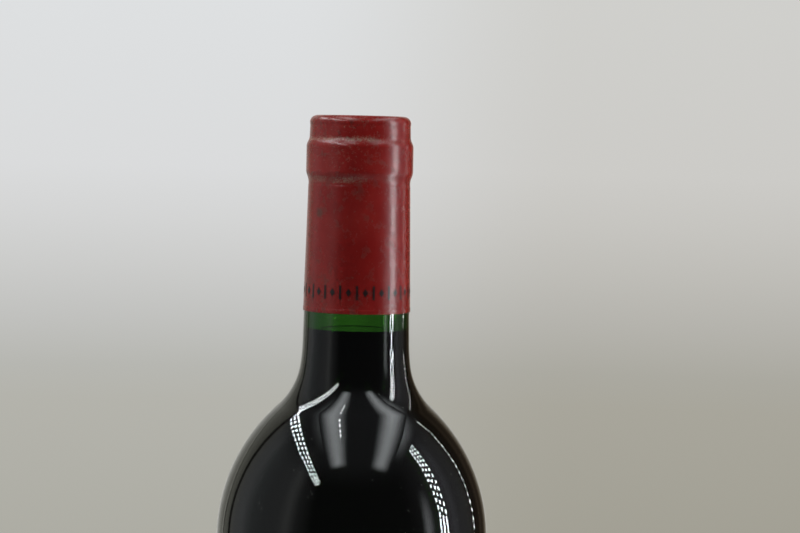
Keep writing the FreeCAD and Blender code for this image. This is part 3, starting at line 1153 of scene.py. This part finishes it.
@dataclass
class Lighting:
    """Two long strips of small lamps beside the bottle and soft panels above it."""

    reach: float = 0.25
    ceiling: float = 0.49
    dot_radiance: float = 36.0
    grain_radiance: float = 48.0
    behind_radiance: float = 22.0
    panel_radiance: float = 3.6
    row_drop: float = 8 * MM
    left_aim: float = 0.23
    cool: Colour = (0.93, 0.97, 1.0)

    def beside(self, name: str, side: float, low: float, high: float, width: float, **lit: object) -> Lamp:
        """Return a lamp on an upright line at the bottle's right, facing across it.

        Args:
            name: Its name.
            side: Where the line stands, along Y.
            low: Height of its foot.
            high: Height of its top.
            width: Its width.
            lit: The rest of the lamp's fields.

        Returns:
            The lamp.
        """
        place = Vector((self.reach, side, (low + high) / 2))
        target = place - Vector((1.0, 0.0, 0.0))
        return Lamp(name, place, target, (width, high - low), Vector((0.0, 0.0, 1.0)), **lit)

    def above(self, name: str, across: float, near: float, far: float, width: float, **lit: object) -> Lamp:
        """Return a lamp on the ceiling, facing down.

        Args:
            name: Its name.
            across: Where its middle is, along X.
            near: Where it starts, along Y.
            far: Where it ends, along Y.
            width: Its width.
            lit: The rest of the lamp's fields.

        Returns:
            The lamp.
        """
        place = Vector((across, (near + far) / 2, self.ceiling))
        target = place - Vector((0.0, 0.0, 1.0))
        return Lamp(name, place, target, (width, far - near), Vector((0.0, 1.0, 0.0)), **lit)

    def build(self) -> None:
        """Build the lamps."""
        dots = dict(pattern=Pattern.DOTS, tint=self.cool, radiance=self.dot_radiance)
        grain = dict(dots, radiance=self.grain_radiance)
        behind = dict(pattern=Pattern.DOTS, radiance=self.behind_radiance)
        panel = dict(radiance=self.panel_radiance, soft_edge=(0.5, 0.12), tint=self.cool)
        glow = dict(soft_edge=(0.5, 0.5), tint=self.cool)
        left = self.above("strip_left", -self.reach, -0.360, 0.165, 0.045, dots=(3, 17), **dots)
        left.target = Vector((0.0, left.place.y, self.left_aim))
        row = self.above("small_row", -0.056, -0.120, -0.030, 0.010, dots=(1, 4), **dots)
        for point in (row.place, row.target):
            point.z -= self.row_drop
        for lamp in (
            left,
            row,
            self.beside("strip_right", -0.042, 0.225, 0.465, 0.048, dots=(3, 13), **dots),
            self.beside("grain_right", -0.045, 0.12, 0.226, 0.046, dots=(3, 50), **grain),
            self.beside("streak_right", -0.120, 0.10, 0.34, 0.070, radiance=1.5, **glow),
            self.beside("strip_behind", 0.150, 0.12, 0.47, 0.009, dots=(1, 24), **behind),
            self.above("panel_left", -0.083, -0.280, 0.05, 0.120, **panel),
            self.above("panel_right", 0.150, -0.285, 0.17, 0.125, **panel),
            self.above("glow_right", 0.190, -0.19, 0.15, 0.17, radiance=1.9, **glow),
            self.above("glow_left", -0.110, -0.19, 0.12, 0.16, radiance=0.9, **glow),
        ):
            lamp.build()


@dataclass
class Floor:
    """A pale floor that keeps the bottle's shadow and fades out before its edge."""

    radius: float = 0.95
    fade_start: float = 0.35
    drop: float = 0.1 * MM
    colour: Colour = (0.72, 0.72, 0.70)

    def build(self) -> Piece:
        """Return the floor."""
        mesh = bmesh.new()
        place = Matrix.Translation((0.0, 0.0, -self.drop))
        bmesh.ops.create_circle(mesh, cap_ends=True, segments=96, radius=self.radius, matrix=place)
        bmesh.ops.recalc_face_normals(mesh, faces=mesh.faces[:])
        material, nodes = new_material("pale_floor")
        where, _ = nodes.place()
        away = nodes.add("VectorMath", {"operation": "LENGTH"}, i0=where).outputs["Value"]
        tone = nodes.fade(nodes.grain(where, 0.05, 3.0), 0.3, 0.7)
        colour = nodes.mix(tone, self.colour, tuple(0.97 * part for part in self.colour))
        matte = nodes.add("BsdfDiffuse", None, Color=colour).outputs[0]
        clear = nodes.add("BsdfTransparent").outputs[0]
        gone = nodes.fade(away, self.fade_start, self.radius * 0.98)
        surface = nodes.add("MixShader", None, i0=gone, i1=matte, i2=clear)
        nodes.add("OutputMaterial", None, Surface=surface.outputs[0])
        floor = make_piece("floor", mesh, material)
        return floor


@dataclass
class Camera:
    """A long lens a little above the shoulder, looking slightly down past the neck."""

    lens: float = 99.0
    sensor: float = 36.0
    place: Vector = field(default_factory=lambda: Vector((0.0, -0.6145, 0.2914)))
    pitch: float = math.radians(3.070)
    yaw: float = math.radians(1.107)
    roll: float = math.radians(1.3)

    def build(self) -> Piece:
        """Return the scene's camera."""
        data = bpy.data.cameras.new("camera")
        data.lens = self.lens
        data.sensor_width = self.sensor
        data.clip_start = 0.01
        camera = bpy.data.objects.new("camera", data)
        turn = Matrix.Rotation(-self.yaw, 4, "Z") @ Matrix.Rotation(math.pi / 2 - self.pitch, 4, "X")
        camera.matrix_world = Matrix.Translation(self.place) @ turn @ Matrix.Rotation(self.roll, 4, "Z")
        bpy.context.scene.collection.objects.link(camera)
        bpy.context.scene.camera = camera
        return camera


# ---- the scene


def report(piece: Piece) -> None:
    """Log a piece's name and how many faces it has."""
    LOG.info("%s: %d faces", piece.name, len(piece.data.polygons))


def main() -> None:
    """Build the bottle and its studio."""
    logging.basicConfig(level=logging.INFO, format="%(name)s: %(message)s")
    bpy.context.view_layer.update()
    bpy.context.scene.view_settings.view_transform = "Standard"
    Camera().build()
    outline = Outline()
    cavity = Cavity(outline)
    glass = GlassBottle(outline, cavity).build()
    report(glass)
    report(Wine(cavity).build())
    foil = FoilCapsule(outline)
    report(foil.build())
    report(PrintedBorder(foil).build())
    report(DustOnGlass().build(glass, outline))
    Backdrop().build()
    Lighting().build()
    Floor().build()


if __name__ == "__main__":
    main()
